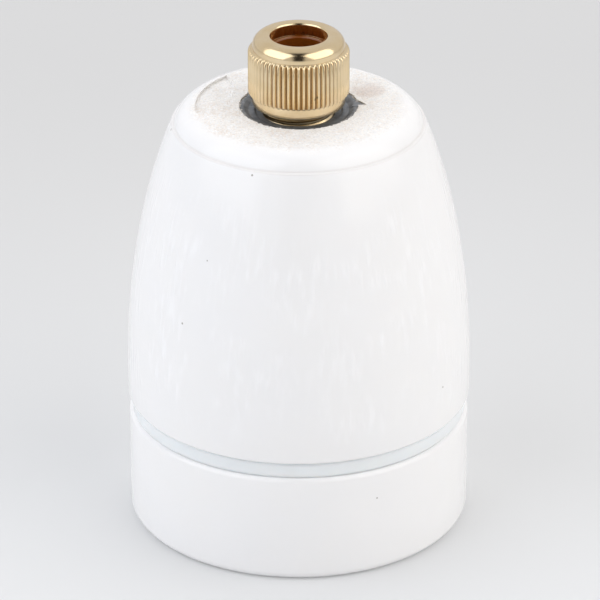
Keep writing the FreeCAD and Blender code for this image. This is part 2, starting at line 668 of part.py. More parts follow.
def terminal_bar(y0, y1, holes):
    """Brass bar with tapped holes given as (y, radius)."""
    depth = y1 - y0 + 2 * BAR_END
    bar = box(BAR_WIDTH, depth, WELL_FLOOR, BAR_TOP, 0, (y0 + y1) / 2)
    bar = bar.makeFillet(BAR_EDGE_ROUND, upright_edges(bar))
    return bar.cut([rod(r + TAPPED_CLEARANCE, WELL_FLOOR, BAR_TOP, 0, y) for y, r in holes])


def live_terminal():
    return terminal_bar(
        LIVE_CLAMP_Y, CENTRE_SCREW_Y, [(LIVE_CLAMP_Y, SCREW_RADIUS), (CENTRE_SCREW_Y, CENTRE_SCREW_RADIUS)]
    )


def neutral_terminal():
    return terminal_bar(
        NEUTRAL_CLAMP_Y, SCREW_CIRCLE, [(NEUTRAL_CLAMP_Y, SCREW_RADIUS), (SCREW_CIRCLE, SCREW_RADIUS)]
    )


def clamp_plate(y):
    """Square washer that holds a wire on each side of its screw."""
    plate = box(PLATE_LENGTH, PLATE_WIDTH, BAR_TOP, PLATE_TOP, 0, y)
    plate = plate.makeFillet(BAR_EDGE_ROUND, upright_edges(plate))
    return plate.cut(rod(SCREW_RADIUS + PASSING_CLEARANCE, BAR_TOP, PLATE_TOP, 0, y))


def clamp_screw(y):
    length = BAR_THICKNESS + PLATE_THICKNESS - SCREW_END
    screw = slotted_screw(SCREW_RADIUS, length, SCREW_HEAD_RADIUS, SCREW_HEAD_HEIGHT)
    return placed(screw, 0, y, PLATE_TOP)


def shell_screws():
    length = WELL_FLOOR + NUT_HEIGHT + SCREW_END - BASE_FOOT
    screw = slotted_screw(SCREW_RADIUS, length, SCREW_HEAD_RADIUS, SCREW_HEAD_HEIGHT)
    upright = placed(screw, SCREW_CIRCLE, 0, BASE_FOOT, True)
    return Part.Compound([about_axis(upright, a) for a in SCREW_ANGLES])


def shell_nuts():
    nut = hexagon(NUT_FLATS, WELL_FLOOR, WELL_FLOOR + NUT_HEIGHT, SCREW_CIRCLE, 0)
    bored = nut.cut(rod(SCREW_RADIUS + TAPPED_CLEARANCE, WELL_FLOOR, BAR_TOP, SCREW_CIRCLE))
    return Part.Compound([about_axis(bored, a) for a in SCREW_ANGLES[1:]])


# --- centre contact -------------------------------------------------------------------------------
def contact_leaf():
    """Springy strip held at one end, stepped down to carry the button on the axis."""
    foot = ISLAND_FOOT - LEAF_THICKNESS
    low = LEAF_LOW - LEAF_THICKNESS
    shift = LEAF_THICKNESS * LEAF_RAMP / LEAF_DROP
    outer_round = LEAF_BEND_ROUND + LEAF_THICKNESS
    strip = outline([
        (LEAF_FOOT_END, foot),
        (LEAF_BEND - shift, foot, LEAF_BEND_ROUND),
        (LEAF_BEND + LEAF_RAMP - shift, low, outer_round),
        (LEAF_TIP, low),
        (LEAF_TIP, LEAF_LOW),
        (LEAF_BEND + LEAF_RAMP, LEAF_LOW, LEAF_BEND_ROUND),
        (LEAF_BEND, ISLAND_FOOT, outer_round),
        (LEAF_FOOT_END, ISLAND_FOOT),
    ])
    leaf = Part.Face(strip).extrude(Vector(0, LEAF_WIDTH, 0))
    leaf.translate(Vector(0, -LEAF_WIDTH / 2, 0))
    screw_hole = rod(CENTRE_SCREW_RADIUS + PASSING_CLEARANCE, foot, ISLAND_FOOT, 0, CENTRE_SCREW_Y)
    button_hole = rod(BUTTON_SHANK_RADIUS + TAPPED_CLEARANCE, low, LEAF_LOW)
    return about_axis(leaf, 90).cut([screw_hole, button_hole])


def contact_button():
    low = LEAF_LOW - LEAF_THICKNESS
    return turned([
        (0, low - BUTTON_HEIGHT),
        (BUTTON_RADIUS, low - BUTTON_HEIGHT, BUTTON_BEVEL),
        (BUTTON_RADIUS, low),
        (BUTTON_SHANK_RADIUS, low),
        (BUTTON_SHANK_RADIUS, LEAF_LOW),
        (BUTTON_TAIL_RADIUS, LEAF_LOW),
        (BUTTON_TAIL_RADIUS, LEAF_LOW + BUTTON_TAIL_HEIGHT),
        (0, LEAF_LOW + BUTTON_TAIL_HEIGHT),
    ], True)


def centre_contact_screw():
    under_head = ISLAND_FOOT - LEAF_THICKNESS
    length = BAR_TOP - CENTRE_SCREW_SHORT - under_head
    screw = slotted_screw(CENTRE_SCREW_RADIUS, length, CENTRE_HEAD_RADIUS, CENTRE_HEAD_HEIGHT)
    return placed(screw, 0, CENTRE_SCREW_Y, under_head, True)


# --- every node of the part -----------------------------------------------------------------------
NODES = {
    "porcelain_skirt": porcelain_skirt,
    "seal_ring": seal_ring,
    "porcelain_cap": porcelain_cap,
    "thread_insert": thread_insert,
    "locking_screw": locking_screw,
    "fibre_washer": fibre_washer,
    "top_washer": top_washer,
    "cord_grip_nipple": cord_grip_nipple,
    "clamp_bush": clamp_bush,
    "cord_grip_nut": cord_grip_nut,
    "contact_block": contact_block,
    "screw_shell": screw_shell,
    "live_terminal": live_terminal,
    "neutral_terminal": neutral_terminal,
    "live_clamp_plate": lambda: clamp_plate(LIVE_CLAMP_Y),
    "neutral_clamp_plate": lambda: clamp_plate(NEUTRAL_CLAMP_Y),
    "live_clamp_screw": lambda: clamp_screw(LIVE_CLAMP_Y),
    "neutral_clamp_screw": lambda: clamp_screw(NEUTRAL_CLAMP_Y),
    "shell_screws": shell_screws,
    "shell_nuts": shell_nuts,
    "contact_leaf": contact_leaf,
    "contact_button": contact_button,
    "centre_contact_screw": centre_contact_screw,
}

os.makedirs("parts", exist_ok=True)
for name, make in NODES.items():
    make().exportStep("parts/" + name + ".step")
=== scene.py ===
import math
from collections import namedtuple

import bmesh
import bpy
from mathutils import Matrix, Vector, noise


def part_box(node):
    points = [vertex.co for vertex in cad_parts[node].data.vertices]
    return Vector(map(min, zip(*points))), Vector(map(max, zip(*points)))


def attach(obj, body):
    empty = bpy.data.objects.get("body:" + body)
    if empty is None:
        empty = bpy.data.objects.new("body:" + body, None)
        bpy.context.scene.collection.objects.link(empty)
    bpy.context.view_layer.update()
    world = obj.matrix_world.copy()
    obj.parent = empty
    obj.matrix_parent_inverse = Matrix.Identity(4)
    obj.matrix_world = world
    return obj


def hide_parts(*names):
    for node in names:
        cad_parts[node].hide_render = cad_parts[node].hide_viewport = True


bl_info = {
    "name": "Porcelain lamp holder",
    "version": (1, 0, 0),
    "blender": (4, 5, 0),
    "location": "View3D > Sidebar > Lamp holder",
    "description": "Makes the glazed, turned and pressed pieces of a lamp holder "
                   "and the plain studio it stands in",
    "category": "Add Mesh",
}

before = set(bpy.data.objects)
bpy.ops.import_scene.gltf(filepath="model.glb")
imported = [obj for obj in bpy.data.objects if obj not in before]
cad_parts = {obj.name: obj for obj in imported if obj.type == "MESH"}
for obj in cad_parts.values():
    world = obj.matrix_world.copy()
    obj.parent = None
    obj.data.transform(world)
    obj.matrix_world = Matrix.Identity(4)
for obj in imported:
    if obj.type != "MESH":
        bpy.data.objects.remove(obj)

MM = 0.001


def reach(node):
    """Largest radius of a CAD node round the upright axis."""
    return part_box(node)[1].x


def top(node):
    """Height of a CAD node's upper end."""
    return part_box(node)[1].z


def foot(node):
    """Height of a CAD node's lower end."""
    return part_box(node)[0].z


def length(name, text, default):
    """Property that holds a size in metres."""
    return bpy.props.FloatProperty(
        name=name, description=text, default=default, unit="LENGTH", precision=5
    )


def colour(name, text, default):
    """Property that holds a colour."""
    return bpy.props.StringProperty(
        name=name, description=text + ", as an sRGB hex value", default=default
    )


# --- sizes and colours that a user may change ------------------------------------------
class LampHolderPorcelain(bpy.types.PropertyGroup):
    cap_radius: length("Cap radius", "Radius of the cap at its widest", reach("porcelain_cap"))
    cap_foot: length("Cap foot", "Height of the cap's lower edge", foot("porcelain_cap"))
    cap_top: length("Cap top", "Height of the bare disc", top("porcelain_cap"))
    straight: length("Straight foot", "Height of the cap's straight part above its foot", 3.7 * MM)
    crease: length("Crease radius", "Radius where the side meets the shoulder", 17.6 * MM)
    shoulder: length("Shoulder height", "Height from the crease to the bare disc", 2.45 * MM)
    swell: length("Shoulder swell", "How far the shoulder bulges out of a straight cone", 0.60 * MM)
    ledge: length("Ledge", "Narrow step between the crease and the shoulder", 0.35 * MM)
    seat: length("Washer seat depth", "Depth of the seat for the top washer", 1.1 * MM)
    seat_radius: length("Washer seat radius", "Mean radius of the seat's ragged edge", 8.2 * MM)
    panel: length("Panel depth", "Depth of the bare crescent panel on the disc", 0.4 * MM)
    disc: length("Disc radius", "Radius of the bare disc on top", 14.0 * MM)
    roof: length("Roof", "Thickness of the cap's roof", 5.8 * MM)
    bore: length("Bore radius", "Bore of the cap below the contact block", 20.5 * MM)
    skirt_radius: length("Skirt radius", "Radius of the skirt", reach("porcelain_skirt"))
    skirt_height: length("Skirt height", "Height of the skirt's outside", foot("seal_ring"))
    mouth: length("Mouth radius", "Radius of the open mouth", 19.2 * MM)
    throat: length("Throat height", "Height where the mouth's cone ends", 10.0 * MM)
    neck_bore: length("Neck bore radius", "Inner radius of the neck", 14.8 * MM)
    neck: length("Neck radius", "Outer radius of the neck", 19.1 * MM)
    pitch: length("Thread pitch", "Rise of the coarse thread in one turn", 4.0 * MM)
    glaze: colour("Glaze", "Colour of the glazed porcelain", "F6F5F4")
    bare: colour("Bare porcelain", "Colour of the unglazed disc", "F6F4F1")


class LampHolderGrip(bpy.types.PropertyGroup):
    radius: length("Nut radius", "Radius over the knurl", reach("cord_grip_nut"))
    height: length("Nut top", "Height of the nut's top", top("cord_grip_nut"))
    foot: length("Nut foot", "Height of the nut's lower edge", foot("cord_grip_nut"))
    collar: length("Collar height", "Height of the plain collar under the knurl", 1.65 * MM)
    knurl: length("Knurl height", "Height of the knurled band", 6.55 * MM)
    ledge: length("Ledge", "Step from the knurl in to the crown", 0.6 * MM)
    crown: length("Crown", "Rounding of the nut's upper edge", 1.5 * MM)
    bore: length("Bore", "Radius of the hole for the flex", 3.93 * MM)
    ridges: bpy.props.IntProperty(name="Ridges", description="Number of knurl ridges", default=60)
    depth: length("Knurl depth", "Depth of the knurl's grooves", 0.38 * MM)
    brass: colour("Brass", "Colour of the bright turned brass", "F0DDBC")


# Marks are given as angle in degrees, then radius, height and size in mm.
GLAZE_SPECKS = (
    (-173.0, 17.7, 59.0, 0.26), (-110.7, 17.8, 58.8, 0.20), (-125.3, 21.5, 46.4, 0.16),
    (-133.4, 23.2, 36.5, 0.20), (-33.8, 24.1, 24.9, 0.17), (-63.0, 23.9, 11.7, 0.16),
    (52.0, 23.0, 38.0, 0.20), (118.0, 20.6, 50.0, 0.18), (161.0, 24.0, 27.0, 0.16),
    (95.0, 23.9, 7.5, 0.18),
)
# A warm painted shade on the bare disc beside the brass nut.
DISC_NUT_SHADE = ((27.0, 10.8, 61.7, 3.2),)
NUT_NICKS = ((-70.5, 6.9, 65.5, 0.3),)

# Fits that two pieces share: the hole for an M10 thread and the place of the washer's lug.
M10_HOLE = 5.05 * MM
LUG_OFFSET = 8.25 * MM
LUG_ANGLE = 4.5

# How far a cutting tool stands out above what it cuts.
CLEAR = 2 * MM


# --- shapes --------------------------------------------------------------------------
def profile(corners, segments=6):
    """Bmesh of one closed outline in the XZ plane.

    Each corner is its radius and height and, if it is rounded, its rounding, all in metres.
    """
    bm = bmesh.new()
    verts = [bm.verts.new((c[0], 0, c[1])) for c in corners]
    for i, vert in enumerate(verts):
        bm.edges.new((vert, verts[(i + 1) % len(verts)]))
    for i, (vert, corner) in enumerate(zip(verts, corners)):
        if len(corner) < 3:
            continue
        before = corners[i - 1]
        after = corners[(i + 1) % len(corners)]
        to_before = Vector((before[0] - corner[0], before[1] - corner[1]))
        to_after = Vector((after[0] - corner[0], after[1] - corner[1]))
        along_edges = corner[2] / math.tan(to_before.angle(to_after) / 2)
        bmesh.ops.bevel(
            bm, geom=[vert], offset=along_edges, offset_type="OFFSET", segments=segments,
            profile=0.5, affect="VERTICES", material=-1,
        )
    return bm


def turned(corners, steps=192, segments=6):
    """Sweeps a closed outline once round the axis."""
    bm = profile(corners, segments)
    bmesh.ops.spin(
        bm, geom=bm.verts[:] + bm.edges[:], cent=(0, 0, 0), axis=(0, 0, 1), dvec=(0, 0, 0),
        angle=2 * math.pi, steps=steps, use_merge=True, use_duplicate=False,
    )
    bmesh.ops.remove_doubles(bm, verts=bm.verts, dist=1e-7)
    return bm


def ridge(corners, pitch, turns, steps=96):
    """Helical ridge with a closed section, capped at both ends."""
    bm = profile(corners, 4)
    bmesh.ops.contextual_create(bm, geom=bm.edges[:])
    start = bm.faces[:]
    end = bmesh.ops.duplicate(bm, geom=start + bm.edges[:] + bm.verts[:])
    moved = [g for g in end["geom"] if isinstance(g, bmesh.types.BMVert)]
    turn = Matrix.Rotation(2 * math.pi * turns, 4, "Z")
    climb = Matrix.Translation((0, 0, pitch * turns))
    bmesh.ops.transform(bm, matrix=climb @ turn, verts=moved)
    swept = [v for f in start for v in f.verts] + [e for f in start for e in f.edges]
    bmesh.ops.spin(
        bm, geom=swept, cent=(0, 0, 0), axis=(0, 0, 1), dvec=(0, 0, pitch / steps),
        angle=2 * math.pi * turns, steps=round(steps * turns), use_merge=False,
        use_duplicate=False,
    )
    bmesh.ops.remove_doubles(bm, verts=bm.verts, dist=1e-6)
    return bm


def merged(first, second):
    """Adds a second bmesh's faces to the first."""
    mesh = bpy.data.meshes.new("merged")
    second.to_mesh(mesh)
    second.free()
    first.from_mesh(mesh)
    bpy.data.meshes.remove(mesh)
    return first


def boolean(first, second, operation="DIFFERENCE"):
    """Combines two closed bmeshes and returns the result as a bmesh."""
    made = []
    for bm in (first, second):
        bmesh.ops.recalc_face_normals(bm, faces=bm.faces)
        mesh = bpy.data.meshes.new("solid")
        bm.to_mesh(mesh)
        bm.free()
        made.append(bpy.data.objects.new("solid", mesh))
        bpy.context.scene.collection.objects.link(made[-1])
    modifier = made[0].modifiers.new("combined", "BOOLEAN")
    modifier.object = made[1]
    modifier.operation = operation
    modifier.solver = "EXACT"
    graph = bpy.context.evaluated_depsgraph_get()
    shaped = bpy.data.meshes.new_from_object(made[0].evaluated_get(graph))
    result = bmesh.new()
    result.from_mesh(shaped)
    bpy.data.meshes.remove(shaped)
    for thing in made:
        bpy.data.objects.remove(thing)
    return result


def drum(radius, low, high, segments=128, offset=0.0, angle=0.0):
    """Upright cylinder, away from the axis by its offset at an angle in degrees."""
    bm = bmesh.new()
    aside = Matrix.Translation((offset, 0, (low + high) / 2))
    bmesh.ops.create_cone(
        bm, cap_ends=True, segments=segments, radius1=radius, radius2=radius,
        depth=high - low, matrix=Matrix.Rotation(math.radians(angle), 4, "Z") @ aside,
    )
    return bm


def bow(start, end, swell, steps):
    """Points of an arc, ends included, that swells to the right of the way it goes."""
    chord = Vector(end) - Vector(start)
    half = 2 * math.atan(2 * swell / chord.length)
    radius = chord.length / (2 * math.sin(half))
    right = Vector((chord.y, -chord.x)).normalized()
    centre = (Vector(start) + Vector(end)) / 2 - right * radius * math.cos(half)
    arm = Vector(start) - centre
    turns = [Matrix.Rotation(2 * half * i / steps, 2) for i in range(steps + 1)]
    return [tuple(centre + turn @ arm) for turn in turns]


def finished(bm, name, body, replaced, surface, crease_angle=35.0):
    """Turns a bmesh into a smooth-shaded piece that rides on its body."""
    bmesh.ops.recalc_face_normals(bm, faces=bm.faces)
    for face in bm.faces:
        face.smooth = True
    for edge in bm.edges:
        edge.smooth = edge.calc_face_angle(0.0) < math.radians(crease_angle)
    mesh = bpy.data.meshes.new(name)
    bm.to_mesh(mesh)
    bm.free()
    piece = bpy.data.objects.new(name, mesh)
    bpy.context.scene.collection.objects.link(piece)
    mesh.materials.append(surface)
    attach(piece, body)
    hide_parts(*replaced)


# --- how materials are built -----------------------------------------------------------
Place = namedtuple("Place", "spot radius angle height")


def linear(hex_value):
    """sRGB hex to a linear colour."""
    parts = [int(hex_value[i:i + 2], 16) / 255 for i in (0, 2, 4)]
    return [p / 12.92 if p <= 0.04045 else ((p + 0.055) / 1.055) ** 2.4 for p in parts] + [1.0]


def across(size):
    """Scale of a texture whose lumps or grains are about this many millimetres across."""
    return 1 / (size * MM)


def material(name):
    """New material with an empty node tree, and that tree."""
    made = bpy.data.materials.new(name)
    made.use_nodes = True
    made.node_tree.nodes.clear()
    return made, made.node_tree


def add(tree, kind, inputs=(), **settings):
    """Adds one shader node with its settings and links.

    The inputs come in the node's own order, or are keyed by name or number. Each is a value,
    an output to link, or a node whose first output in use is linked.
    """
    made = tree.nodes.new("ShaderNode" + kind)
    for key, value in settings.items():
        setattr(made, key, value)
    for key, value in inputs.items() if isinstance(inputs, dict) else enumerate(inputs):
        if isinstance(value, bpy.types.Node):
            value = next(output for output in value.outputs if output.enabled)
        if isinstance(value, bpy.types.NodeSocket):
            tree.links.new(value, made.inputs[key])
        else:
            made.inputs[key].default_value = value
    return made


def place(tree):
    """Position in the part's own frame, its distance from the axis, its angle and its height."""
    spot = add(tree, "TexCoord").outputs["Object"]
    x, y, height = add(tree, "SeparateXYZ", (spot,)).outputs
    squares = [add(tree, "Math", (side, 2), operation="POWER") for side in (x, y)]
    total = add(tree, "Math", squares, operation="ADD")
    radius = add(tree, "Math", (total,), operation="SQRT")
    angle = add(tree, "Math", (y, x), operation="ARCTAN2")
    return Place(spot, radius, angle, height)


def mask(tree, *steps):
    """1 where each value is past its second limit and 0 where any is short of its first.

    Each step is a value and its two limits, and it rises smoothly between them.
    """
    total = None
    for step in steps:
        risen = add(tree, "MapRange", step, interpolation_type="SMOOTHSTEP")
        if total is None:
            total = risen
        else:
            total = add(tree, "Math", (total, risen), operation="MULTIPLY")
    return total


def specks(tree, spot, marks):
    """1 at each of a few small round marks with soft edges."""
    total = None
    for angle, radius, height, size in marks:
        turn = Matrix.Rotation(math.radians(angle), 3, "Z")
        centre = turn @ Vector((radius, 0, height)) * MM
        away = add(tree, "VectorMath", (spot, centre), operation="DISTANCE")
        mark = mask(tree, (away, size * MM, 0.4 * size * MM))
        if total is None:
            total = mark
        else:
            total = add(tree, "Math", (total, mark), operation="MAXIMUM")
    return total


def wandering(tree, measure, pattern, amount):
    """A measure that a pattern shifts by up to half the amount either way."""
    centred = add(tree, "Math", (pattern, 0.5), operation="SUBTRACT")
    return add(tree, "Math", (centred, amount, measure), operation="MULTIPLY_ADD")


def pushed_about(tree, spot, size, amount):
    """Position pushed about by noise, so that a round mark gets an uneven edge."""
    inputs = {"Vector": spot, "Scale": across(size), "Detail": 3.0}
    push = add(tree, "TexNoise", inputs).outputs["Color"]
    centred = add(tree, "VectorMath", (push, (0.5, 0.5, 0.5)), operation="SUBTRACT")
    shift = (centred, (amount, amount, amount), spot)
    return add(tree, "VectorMath", shift, operation="MULTIPLY_ADD")


def layered(tree, base, *coats):
    """A base colour with coats over it, each given as where it lies, its strength and its hex."""
    shade = linear(base)
    for where, strength, hex_value in coats:
        share = add(tree, "Math", (where, strength), operation="MULTIPLY")
        # A colour Mix node takes its factor at 0 and its two colours at 6 and 7.
        inputs = {0: share, 6: shade, 7: linear(hex_value)}
        shade = add(tree, "Mix", inputs, data_type="RGBA")
    return shade


def relief(tree, *layers):
    """Normal of a surface with one relief over another, each a pattern and its depth in mm."""
    inputs = {}
    for pattern, depth in layers:
        inputs.update({"Height": pattern, "Distance": depth * MM})
        inputs["Normal"] = add(tree, "Bump", inputs)
    return inputs["Normal"]


def covered(tree, where, over):
    """Lays a second shader over the one that the material ends in."""
    output = next(node for node in tree.nodes if node.type == "OUTPUT_MATERIAL")
    under = output.inputs["Surface"].links[0].from_socket
    both = add(tree, "MixShader", (where, under, over))
    tree.links.new(both.outputs[0], output.inputs["Surface"])


# --- materials -----------------------------------------------------------------------
def glazed_porcelain(p, name="glazed_porcelain"):
    """White porcelain under a clear fired glaze: glossy, with a few iron specks.

    The glaze has run a little, which leaves upright ripples in patches between the seal and
    the shoulder. A darker band is painted along the shoulder's crease: painted shade.
    """
    made, tree = material(name)
    at = place(tree)
    arc = add(tree, "Math", (at.angle, p.cap_radius), operation="MULTIPLY")
    squeezed = add(tree, "Math", (at.height, 0.2), operation="MULTIPLY")
    stretched = add(tree, "CombineXYZ", (arc, squeezed))
    runs = add(tree, "TexNoise", {"Vector": stretched, "Scale": across(1.0), "Detail": 2.0})
    side = add(tree, "CombineXYZ", (arc, at.height))
    patches = add(tree, "TexNoise", {"Vector": side, "Scale": across(7), "Detail": 1.0})
    # Upright ripples in the glaze: they give it its relief, and the paler streaks they also get in
    # the colour are a painted highlight.
    ripples_and_painted_sheen = mask(
        tree, (runs, 0.42, 0.75), (patches, 0.40, 0.62),
        (at.height, 19 * MM, 26 * MM), (at.height, 57 * MM, 50 * MM),
    )
    peel = add(tree, "TexNoise", {"Vector": at.spot, "Scale": across(0.9), "Detail": 2.0})
    sag = add(tree, "TexNoise", {"Vector": at.spot, "Scale": across(9), "Detail": 1.0})
    crease = p.cap_top - p.shoulder
    # A darker band along the shoulder's crease: painted shade.
    crease_shade = mask(
        tree, (at.height, crease - 0.25 * MM, crease),
        (at.height, crease + 0.4 * MM, crease + 0.15 * MM),
    )
    cloud = add(tree, "TexNoise", {"Vector": at.spot, "Scale": across(12), "Detail": 3.0})
    base = layered(
        tree, "F4F4F5", (cloud, 1.0, p.glaze), (ripples_and_painted_sheen, 0.6, "FDFDFE"), (crease_shade, 0.22, "D2C9C4"),
        (specks(tree, at.spot, GLAZE_SPECKS), 0.8, "8A8378"),
    )
    shader = add(tree, "BsdfPrincipled", {
        "Base Color": base, "Roughness": 0.17, "IOR": 1.5,
        "Normal": relief(tree, (ripples_and_painted_sheen, 0.05), (peel, 0.012), (sag, 0.25)),
        "Subsurface Weight": 0.12, "Subsurface Scale": 1.0 * MM,
        "Subsurface Radius": (1.0, 0.95, 0.9),
    })
    add(tree, "OutputMaterial", {"Surface": shader})
    return made


def bare_top_porcelain(p):
    """The cap's porcelain: glazed all over but for the top disc.

    The disc is bisque, fired without glaze: matt, white and gritty, with grains that glint and
    are painted white as a painted glint, dark specks and a faint warm painted shade by the nut.
    """
    made = glazed_porcelain(p, "porcelain_with_bare_top")
    tree = made.node_tree
    at = place(tree)
    edge = add(tree, "TexNoise", {"Vector": at.spot, "Scale": across(2.6), "Detail": 4.0})
    bare = mask(
        tree,
        (wandering(tree, at.radius, edge, 3.0 * MM), p.disc + 1.6 * MM, p.disc - 0.4 * MM),
        (at.height, p.cap_top - 2.2 * MM, p.cap_top - 1.2 * MM),
    )
    grit = add(tree, "TexNoise", {
        "Vector": at.spot, "Scale": across(0.30), "Detail": 3.0, "Roughness": 0.75,
    })
    lumps = add(tree, "TexNoise", {
        "Vector": at.spot, "Scale": across(1.4), "Detail": 3.0, "Roughness": 0.6,
    })
    patches = add(tree, "TexNoise", {
        "Vector": at.spot, "Scale": across(3.5), "Detail": 3.0, "Roughness": 0.6,
    })
    grains = add(tree, "TexVoronoi", {"Vector": at.spot, "Scale": across(0.24)})
    tone = grains.outputs["Color"]
    glint = mask(tree, (tone, 0.56, 0.64))
    # Uneven edge for the warm painted shade beside the nut.
    nut_shade_spot = pushed_about(tree, at.spot, 1.7, 2.6 * MM)
    # The glinting grains are also painted white: a painted glint. Their lower roughness is real.
    base = layered(
        tree, p.bare, (mask(tree, (patches, 0.42, 0.70)), 1.0, "EDE7E1"),
        (glint, 0.95, "FFFFFF"), (mask(tree, (tone, 0.30, 0.20)), 0.4, "D8D2CD"),
        (specks(tree, nut_shade_spot, DISC_NUT_SHADE), 0.4, "D3BEB2"),
    )
    bisque = add(tree, "BsdfPrincipled", {
        "Base Color": base, "IOR": 1.5, "Normal": relief(tree, (grit, 0.12), (lumps, 0.10)),
        "Roughness": add(tree, "Math", (glint, -0.55, 0.8), operation="MULTIPLY_ADD"),
    })
    covered(tree, bare, bisque)
    return made


def turned_brass(hex_value, name="turned_brass", roughness=0.16, grooves=(), nicks=()):
    """Bright turned brass: fine rings left by the lathe, and a little duller where touched.

    The grooves of a knurl are painted darker: painted shade. They are given as the lower and
    upper height and the deepest and shallowest radius that they have.
    """
    made, tree = material(name)
    at = place(tree)
    ringed = add(tree, "CombineXYZ", (at.radius, 0.0, at.height))
    rings = add(tree, "TexNoise", {"Vector": ringed, "Scale": across(0.09), "Detail": 1.0})
    smudge = add(tree, "TexNoise", {"Vector": at.spot, "Scale": across(2.5), "Detail": 3.0})
    coats = [(smudge, 1.0, "E4C998")]
    if grooves:
        low, high, deep, shallow = grooves
        # Darker colour in the knurl's grooves: painted shade.
        groove_shade = mask(
            tree, (at.height, low - 0.1 * MM, low), (at.height, high, high - 0.2 * MM),
            (at.radius, shallow, deep),
        )
        coats.append((groove_shade, 0.75, "7C552A"))
    if nicks:
        coats.append((specks(tree, at.spot, nicks), 0.85, "4A3A1C"))
    gloss = (smudge, 0.10, roughness - 0.05)
    shader = add(tree, "BsdfPrincipled", {
        "Base Color": layered(tree, hex_value, *coats), "Metallic": 1.0,
        "Roughness": add(tree, "Math", gloss, operation="MULTIPLY_ADD"),
        "Normal": relief(tree, (rings, 0.006)),
    })
    add(tree, "OutputMaterial", {"Surface": shader})
    return made


def dull_metal(name, light, dark, roughness):
    """Plated or pressed metal gone dull: cloudy in tone with a fine grain."""
    made, tree = material(name)
    spot = add(tree, "TexCoord").outputs["Object"]
    cloud = add(tree, "TexNoise", {
        "Vector": spot, "Scale": across(1.4), "Detail": 4.0, "Roughness": 0.65,
    })
    grain = add(tree, "TexNoise", {
        "Vector": spot, "Scale": across(0.25), "Detail": 2.0, "Roughness": 0.6,
    })
    gloss = (grain, 0.2, roughness - 0.1)
    shader = add(tree, "BsdfPrincipled", {
        "Base Color": layered(tree, dark, (mask(tree, (cloud, 0.35, 0.65)), 1.0, light)),
        "Metallic": 1.0, "Roughness": add(tree, "Math", gloss, operation="MULTIPLY_ADD"),
        "Normal": relief(tree, (grain, 0.02)),
    })
    add(tree, "OutputMaterial", {"Surface": shader})
    return made


def dusty_plate():
    """Dull blue-grey zinc plate, dusted white with porcelain grit along the washer's rim.

    The dust lies on the raised rim only, and not on the lug.
    """
    made = dull_metal("dusty_zinc_plate", "A6AAB0", "8A8E94", 0.62)
    tree = made.node_tree
    at = place(tree)
    edge = add(tree, "TexNoise", {
        "Vector": at.spot, "Scale": across(0.25), "Detail": 3.0, "Roughness": 0.7,
    })
    from_lug = add(tree, "Math", (at.angle,), operation="ABSOLUTE")
    dust = mask(
        tree, (wandering(tree, at.radius, edge, 3.2 * MM), 8.1 * MM, 8.4 * MM),
        (from_lug, 0.14, 0.22), (at.height, 60.9 * MM, 61.2 * MM),
    )
    grit = add(tree, "BsdfPrincipled", {"Base Color": linear("E9E7E4"), "Roughness": 0.8})
    covered(tree, dust, grit)
    return made


def milky_silicone():
    """Moulded silicone, milky and a little blue, softened by light scattered inside it."""
    made, tree = material("milky_silicone")
    spot = add(tree, "TexCoord").outputs["Object"]
    skin = add(tree, "TexNoise", {"Vector": spot, "Scale": across(0.5), "Detail": 2.0})
    cloud = add(tree, "TexNoise", {"Vector": spot, "Scale": across(6), "Detail": 2.0})
    shader = add(tree, "BsdfPrincipled", {
        "Base Color": layered(tree, "F1F6FA", (cloud, 1.0, "EBF1F6")), "Roughness": 0.35,
        "IOR": 1.41, "Normal": relief(tree, (skin, 0.01)), "Subsurface Weight": 0.6,
        "Subsurface Scale": 2.0 * MM, "Subsurface Radius": (0.8, 0.9, 1.0),
    })
    add(tree, "OutputMaterial", {"Surface": shader})
    return made


def pressed_solid(name, light, dark, roughness, grain):
    """Pressed or moulded non-metal: even tone with faint clouds and a fine grain in mm."""
    made, tree = material(name)
    spot = add(tree, "TexCoord").outputs["Object"]
    fine = add(tree, "TexNoise", {
        "Vector": spot, "Scale": across(grain), "Detail": 3.0, "Roughness": 0.6,
    })
    cloud = add(tree, "TexNoise", {"Vector": spot, "Scale": across(3), "Detail": 3.0})
    shader = add(tree, "BsdfPrincipled", {
        "Base Color": layered(tree, dark, (cloud, 1.0, light)), "Roughness": roughness,
        "Normal": relief(tree, (fine, 0.05)),
    })
    add(tree, "OutputMaterial", {"Surface": shader})
    return made


# --- pieces --------------------------------------------------------------------------
def cap_outline(p):
    """Outline of the cap: foot, elliptical side, bulged shoulder, disc, hole, chamber and bore."""
    curve_foot = p.cap_foot + p.straight
    crease = p.cap_top - p.shoulder
    lean = math.acos(p.crease / p.cap_radius)
    rise = (crease - curve_foot) / math.sin(lean)
    steps = 32
    side = []
    for i in range(steps + 1):
        a = lean * i / steps
        side.append((p.cap_radius * math.cos(a), curve_foot + rise * math.sin(a)))
    side[-1] += (0.2 * MM,)
    ledge_end = (p.crease - p.ledge, crease + 0.12 * MM)
    ceiling = p.cap_top - p.roof
    sleeve_hole = 6.35 * MM
    chamber_top = 15.6 * MM
    chamber_foot = (17.4 * MM, 38.6 * MM)
    return (
        [(p.bore, p.cap_foot, 0.3 * MM), (p.cap_radius, p.cap_foot, 0.6 * MM)]
        + side
        + bow(ledge_end, (p.disc, p.cap_top), p.swell, 10)
        + [(sleeve_hole, p.cap_top), (sleeve_hole, ceiling), (chamber_top, ceiling, 3 * MM)]
        + [chamber_foot, (p.bore, chamber_foot[1])]
    )


def lug(size, low, high):
    """Three-sided lug at the washer's rim, pointing outwards."""
    return drum(size, low, high, 3, LUG_OFFSET, LUG_ANGLE)


